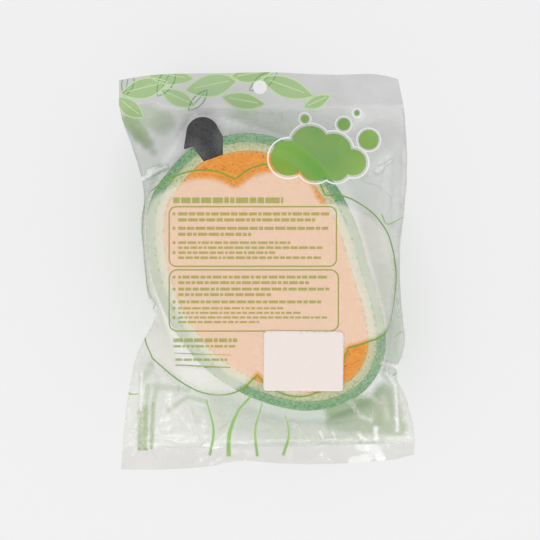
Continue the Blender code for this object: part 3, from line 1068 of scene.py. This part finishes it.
filmLook = {
    # colours at the header and at the foot, with painted shade towards the header and painted light
    # towards the foot, where the film catches more light
    "clear": ((0.39, 0.395, 0.38), (0.69, 0.67, 0.61)),
    "sealed": ((0.235, 0.24, 0.235), (0.555, 0.52, 0.475)),
    "white": (0.93, 0.925, 0.9),  # painted highlight colour of the sheens and creases
    "paintedHighlightFrom": (0.53, 0.74),  # haze from which the film turns to the painted highlight white, and where it is white
    "most": 0.92,
    "rough": 0.2,
    # the index is high, as only the part that alpha leaves of the shine is seen
    "shine": {"IOR": 1.9, "Specular IOR Level": 1.0, "Coat Weight": 1.0, "Coat Roughness": 0.08},
    "tight": 0.02,  # haze where the film lies on the sponge
    "edge": 0.12,  # and over the sponge's edge
    "edgeReach": 7.0,
    "slack": 0.3,  # where it stands off
    "backLoose": 10.0,  # below the top of the back film, where it is fully slack
    "frontLoose": 3.0,  # and over the table, for the front film
    "seal": 0.52,
    "rim": 0.25,  # added along the folded sides
    "rimReach": 1.2,
    "crinkleSize": 31.0,
    "crinkleDepth": 1.3,
    "paintedCrinkleGlint": 0.22,  # painted glints: haze added along the crinkles
    "sealCrinkle": 0.4,  # share of them on the seals
    "crinkleFrom": (0.1, 0.25),  # haze over which they come in
    "shade": 0.8,  # painted shadow on the far film beyond the sponge's upper end
    "shadeFrom": (30, 60),  # up the page
    "shadeReach": 7.0,
    "shadeHaze": 0.5,
    "shadeColour": (0.1, 0.102, 0.097),
}
paintedHighlightsAndShade = (
    # painted highlights and painted shade in the film: two ends, radius, softness and haze added; a
    # little haze darkens the film, much haze turns it white
    (-55, -73, -36, -80, 2.5, 9, 0.11),
    (-60, -80, 60, -84, 3, 12, 0.05),
    (47, 66, 62, 68, 4, 8, 0.14),
    (59, -30, 51, -53, 2, 4, 0.1),
    (-21, -63, -26, -83, 1.5, 3, 0.1),
    (-8, -66, -12, -82, 1.5, 4, 0.08),
    (-47, -63, -52, -76, 1, 3, 0.12),
    (-40, -68, -36, -80, 0.5, 1.8, 0.26),
    (13, -76, 20, -84, 0.5, 2, 0.22),
    (-63, -48, -52, -52, 0.6, 2, 0.25),
    (-34, -78, -31, -87, 1, 2.5, 0.3),
    (-63.3, -51, -63.8, -70, 0.2, 1.5, 0.42),
    (-64, -72, -67, -79, 0.3, 1.3, 0.36),
    (-58, -48, -45, -60, 3, 6, 0.14),
    (-57.5, -15, -54, -27, 0.9, 2.2, 0.4),
    (-52, -30, -47, -48, 0.8, 2.4, 0.16),
    (43, -96, 51, -94, 1, 1.8, 0.5),
    (56, -92.5, 57.5, -95, 1.1, 1.6, 0.5),
    (47, -88, 55, -90, 1.5, 2.5, 0.24),
    (46, -82, 50, -86, 0.5, 1.4, 0.45),
    (50, -86, 54.5, -85.3, 0.4, 1.3, 0.42),
    (54.6, -79, 54.9, -85, 0.7, 1.4, 0.5),
    (33, -81, 34.2, -84.5, 0.5, 1.3, 0.35),
    (26.5, -80.5, 28, -84, 0.5, 1.3, 0.38),
    (41.5, -65.5, 46, -71, 0.3, 2.2, 0.34),
    (46, -72, 52, -75, 0.2, 2.4, 0.33),
    (58, -64, 60.5, -74, 0.3, 2.8, 0.24),
    (59.5, -50.5, 64.5, -57.5, 0.4, 1.5, 0.46),
    (64.6, -57.5, 65.6, -80.5, 0.4, 1.5, 0.46),
    (57.5, -46, 65, -48, 0.6, 1.4, 0.45),
    (56.5, -50.5, 63.5, -53.5, 0.5, 1.2, 0.35),
    (51, -62.5, 57, -66, 0.5, 1.6, 0.3),
    (55.2, 50.2, 57.6, 52.2, 0.9, 1.8, 0.36),
    (57.6, 52.2, 62.5, 55.6, 0.1, 1.6, 0.38),
    (64, 24, 65.5, 66, 1.2, 2.6, 0.12),
    (-14, 75, 36, 75, 3, 8, 0.14),
    (51, 25, 54, -12, 2.5, 5, 0.13),
    (-61, 12, -60, -14, 1, 4, 0.13),
    (66.5, 10, 67.3, 60, 0.4, 1.4, 0.16),
    (-62.5, 46.5, -50.5, 52.5, 0.3, 1.4, 0.62),
    (-59.5, 50, -54, 51.8, 0.8, 1.6, 0.5),
)
inkLook = {"rough": 0.3, "shine": {"Coat Weight": 0.4, "Coat Roughness": 0.12}}
inks = {
    # colour, a second colour that it drifts to, and strength
    "whiteInk": ((0.9, 0.835, 0.755), (0.88, 0.825, 0.74), 1.0),
    "oliveInk": ((0.28, 0.29, 0.01), (0.2, 0.3, 0.02), 0.92),
    "greenInk": ((0.22, 0.3, 0.01), (0.14, 0.31, 0.02), 0.92),
    "paleOliveInk": ((0.34, 0.315, 0.015), (0.26, 0.34, 0.04), 0.8),
    "bubbleGreen": ((0.22, 0.42, 0.03), (0.12, 0.34, 0.02), 0.9),
    "rimWhite": ((0.92, 0.92, 0.9), (0.86, 0.88, 0.84), 0.85),
    "leafGreen": ((0.32, 0.51, 0.17), (0.36, 0.54, 0.24), 0.85),
    "paleGreenInk": ((0.6, 0.76, 0.4), (0.52, 0.7, 0.33), 0.85),
    "darkGreenInk": ((0.16, 0.34, 0.12), (0.12, 0.3, 0.16), 0.8),
    "bladeGreen": ((0.2, 0.46, 0.06), (0.3, 0.5, 0.1), 0.85),
    "farGreen": ((0.25, 0.41, 0.11), (0.2, 0.36, 0.08), 1.0),
}


def fineNoise(tree, place):
    # the small unevenness that film and ink share
    return noiseNode(tree, place, 170.0, 3.0, 0.6)


def filmMaterial(name, colours, crinkled):
    material, tree, shader = newMaterial(name, colours[1], filmLook["rough"], filmLook["shine"])
    place = ownPlace(tree)
    haze = readStrength(tree, "haze")
    cloud = noiseNode(tree, place, 45.0, 3.0)
    # painted light and shade: up the page the film's colour goes from the foot's paler one to the
    # header's darker one
    up = addNode(tree, "SeparateXYZ", {"Vector": place}).outputs["Y"]
    tone = blendColours(tree, ramp(tree, up, -0.06, 0.06), colours[1], colours[0])
    # painted highlights: where the haze is high the film turns white
    tone = blendColours(tree, ramp(tree, haze, *filmLook["paintedHighlightFrom"]), tone, filmLook["white"])
    # painted shadow, read from the far film's points
    tone = blendColours(tree, readStrength(tree, "shade"), tone, filmLook["shadeColour"])
    feed(tone, shader, "Base Color")
    loose = ramp(tree, haze, *filmLook["crinkleFrom"], 0.0, crinkled)
    crinkle = noiseNode(tree, place, 1000 / filmLook["crinkleSize"], 2.5, 0.9)
    away = maths(tree, "ABSOLUTE", maths(tree, "SUBTRACT", crinkle, 0.5))
    line = times(tree, ramp(tree, away, 0.0, 0.012, 1.0, 0.0), loose)
    line = times(tree, line, ramp(tree, noiseNode(tree, place, 18.0), 0.48, 0.6))
    vary = times(tree, haze, ramp(tree, cloud, 0.3, 0.7, 0.85, 1.15))
    # painted glints along the crinkle lines
    white = times(tree, line, filmLook["paintedCrinkleGlint"])
    feed(maths(tree, "ADD", vary, white), shader, "Alpha")
    rough = filmLook["rough"]
    feed(ramp(tree, cloud, 0.3, 0.7, rough * 0.8, rough * 1.25), shader, "Roughness")
    ridge = times(tree, ramp(tree, away, 0.0, 0.14, 1.0, 0.0), loose)
    fine = times(tree, fineNoise(tree, place), 0.16)
    addBump(tree, shader, maths(tree, "ADD", ridge, fine), 0.8, filmLook["crinkleDepth"])
    return material


def inkMaterial(name, painted=False):
    # an ink on the film; a painted one reads its strength from the piece's points
    colour, other, strength = inks[name]
    material, tree, shader = newMaterial(name, colour, inkLook["rough"], inkLook["shine"])
    place = ownPlace(tree)
    wash = ramp(tree, noiseNode(tree, place, 30.0), 0.35, 0.65)
    feed(blendColours(tree, wash, colour, other), shader, "Base Color")
    if painted:
        feed(readStrength(tree, "ink"), shader, "Alpha")
    else:
        shader.inputs["Alpha"].default_value = strength
    addBump(tree, shader, fineNoise(tree, place), 0.35, 0.5)
    return material


def strokes(marks, spots):
    # strength at each of many places of some soft-edged strokes
    strength = np.zeros(len(spots))
    for x0, y0, x1, y1, radius, soft, most in marks:
        away = fromLine(np.array((x0, y0)) * mm, np.array((x1, y1)) * mm, spots) / mm
        strength = np.maximum(strength, most * easeAll(1 - (away - radius) / soft))
    return strength


def hazeAt(points, base):
    spots = points[:, :2]
    unsealed = (spots[:, 1] < headerLine - mm) & (spots[:, 1] > footLine(spots[:, 0]) + mm)
    rim = easeAll(1 - fromRing(filmOutline, spots) / (filmLook["rimReach"] * mm)) * unsealed
    # the strokes add painted highlights and painted shade to the haze
    return np.clip(base + filmLook["rim"] * rim + strokes(paintedHighlightsAndShade, spots), 0, filmLook["most"])


def between(values, low, high):
    # 0 below the first height, 1 above the second
    return easeAll((values / mm - low) / (high - low))


def nearEdge(node, points, reach):
    # 1 on a foam layer's outline, falling to 0
    return easeAll(1 - fromRing(topLoops(node)[0], points[:, :2]) / (reach * mm))


def sealShare(points):
    # where the films lap over the seals, they fade out as the seals fade in
    over = np.maximum(points[:, 1] - headerLine, footLine(points[:, 0]) - points[:, 1])
    return easeAll(over / (pouch["overlap"] * mm))


def hideShade(piece):
    # clear film and thin ink dim nothing behind them
    piece.visible_shadow = False
    piece.visible_diffuse = False


def dressFilm(film, haze, share, node):
    # share: how much is left of a film or seal, where they fade into each other
    giveStrength(film, "haze", haze * share)
    hideShade(film)
    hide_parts(node)


def buildBackFilm(clear):
    film, points = sheetPiece("backFilm", topSheet, holds("film"), 0.0, clear)
    slack = easeAll((capHeight - points[:, 2]) / (filmLook["backLoose"] * mm))
    tight = filmLook["tight"] + filmLook["edge"] * nearEdge("rind_band", points, filmLook["edgeReach"])
    haze = hazeAt(points, mix(tight, filmLook["slack"], slack))
    dressFilm(film, haze, 1 - sealShare(points), "back_film")


def buildFrontFilm(clear):
    film, points = sheetPiece("frontFilm", bottomSheet, holds("film"), 0.0, clear, flip=True)
    slack = between(points[:, 2], 0, filmLook["frontLoose"])
    haze = hazeAt(points, mix(filmLook["tight"], filmLook["slack"], slack))
    # painted shadow of the sponge's upper end on the far film
    near = [nearEdge(node, points, filmLook["shadeReach"]) for node in ("rind_band", "stem")]
    shade = np.max(near, axis=0) * between(points[:, 1], *filmLook["shadeFrom"]) * filmLook["shade"]
    giveStrength(film, "shade", shade)
    haze = np.minimum(haze + shade * filmLook["shadeHaze"], filmLook["most"])
    dressFilm(film, haze, 1 - sealShare(points), "front_film")


def buildSeal(name, node, label, sealed):
    seal, points = sheetPiece(name, topSheet, without(label, "hole"), -pouch["sealDrop"], sealed)
    dressFilm(seal, hazeAt(points, filmLook["seal"]), sealShare(points), node)


def buildFarPrints():
    strength = strokes(farPrints["marks"], bottomSheet["points"][:, :2])
    marked = [names | {"soft"} if max(strength[list(face)]) > farPrints["least"] else names
              for face, names in zip(bottomSheet["faces"], bottomSheet["names"])]
    sheet = dict(bottomSheet, names=marked)
    green = inkMaterial("farGreen", True)
    piece, points = sheetPiece("farPrints", sheet, holds("film", "soft"), farPrints["lift"], green)
    giveStrength(piece, "ink", strokes(farPrints["marks"], points[:, :2]))
    hideShade(piece)


def holds(*labels):
    return lambda names: all(label in names for label in labels)


def without(label, other):
    return lambda names: label in names and other not in names


def buildPrint(name, wanted, lift, material):
    def chosen(names):
        return names & {"film", "header", "foot"} and "hole" not in names and wanted(names)

    piece, points = sheetPiece(name, topSheet, chosen, lift, material)
    hideShade(piece)
    return piece, points


def buildWhitePanel():
    white = inkMaterial("whiteInk", True)
    piece, points = buildPrint("whitePanel", without("panel", "bubble"), panel["whiteLift"], white)
    top = between(points[:, 1], *panel["topFrom"])
    left = between(-points[:, 0], *panel["leftFrom"])
    inset = panel["whiteInset"] + panel["topInset"] * top - panel["leftInset"] * left
    soft = mix(*panel["whiteSoft"], top)
    inward = (fromRing(panelRing(), points[:, :2]) / mm - inset) / soft
    layers = ("flesh_core", "pith_band", "rind_band")
    backed = np.any([insideAll(topLoops(node)[0], points[:, :2]) for node in layers], axis=0)
    strength = panel["whiteStrength"] * np.where(backed, 1.0, panel["whiteAlone"])
    giveStrength(piece, "ink", strength * easeAll(inward))


# piece, the faces it takes, its lift off the film and its ink
filmPrints = (
    ("panelLine", without("panelLine", "bubbleOuter"), 0.05, "greenInk"),
    ("frameLines", without("frameLine", "bubbleOuter"), 0.05, "oliveInk"),
    ("textBars", holds("text"), 0.05, "paleOliveInk"),
    ("bubbleInk", holds("bubble"), 0.04, "bubbleGreen"),
    ("bubbleRims", without("bubbleOuter", "bubbleInner"), 0.06, "rimWhite"),
    ("leafInk", holds("leaf"), 0.04, "leafGreen"),
    ("leafLines", holds("leafLine"), 0.06, "paleGreenInk"),
    ("drawnLeaves", holds("drawnLine"), 0.06, "darkGreenInk"),
    ("bladeInk", holds("blade"), 0.05, "bladeGreen"),
)
clearFilm = filmMaterial("clearFilm", filmLook["clear"], 1.0)
sealedFilm = filmMaterial("sealedFilm", filmLook["sealed"], filmLook["sealCrinkle"])
buildBackFilm(clearFilm)
buildFrontFilm(clearFilm)
buildSeal("headerSeal", "header_seal", "header", sealedFilm)
buildSeal("footSeal", "foot_seal", "foot", sealedFilm)
buildFarPrints()
print("films and seals made")
buildWhitePanel()
for name, wanted, lift, ink in filmPrints:
    buildPrint(name, wanted, lift, inkMaterial(ink))
print("prints made")

# label: a blank paper sticker on the back film

label = {
    "lift": 0.15,  # of its underside over the film
    "thickness": 0.1,
    "colour": (0.83, 0.735, 0.69),
    "pale": (0.87, 0.79, 0.75),
    "border": 0.35,
    "borderInset": 1.5,
    "borderStep": 2,
    "step": 1,
    "borderLift": 0.03,
}


def paperMaterial(name, colour, other):
    material, tree, shader = newMaterial(name, colour, 0.55)
    fibres = noiseNode(tree, ownPlace(tree), 900.0, 3.0)
    share = ramp(tree, fibres, 0.3, 0.7, 0.0, 0.35)
    feed(blendColours(tree, share, colour, other), shader, "Base Color")
    addBump(tree, shader, fibres, 0.2, 0.05)
    return material


def buildLabel():
    ring = topLoops("label")[0]
    inner = movedOut(spread(ring, label["borderStep"] * mm), -label["borderInset"] * mm)
    border = labelled("border", ribbon(inner, label["border"] * mm, closed=True))
    over = (label["lift"] + label["thickness"]) * mm
    ring = spread(ring, label["step"] * mm)
    sheet = cutSheet([("label", ring)], border, lambda x, y: topHeight(x, y) + over)
    paper = paperMaterial("labelPaper", label["colour"], label["pale"])
    piece, _ = sheetPiece("paperLabel", sheet, holds("label"), 0.0, paper)
    thick = piece.modifiers.new("thickness", "SOLIDIFY")
    thick.thickness = label["thickness"] * mm
    thick.offset = -1.0
    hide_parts("label")
    rim = paperMaterial("borderPaper", label["pale"], label["colour"])
    line, _ = sheetPiece("labelBorder", sheet, holds("border"), label["borderLift"], rim)


buildLabel()
print("label made")
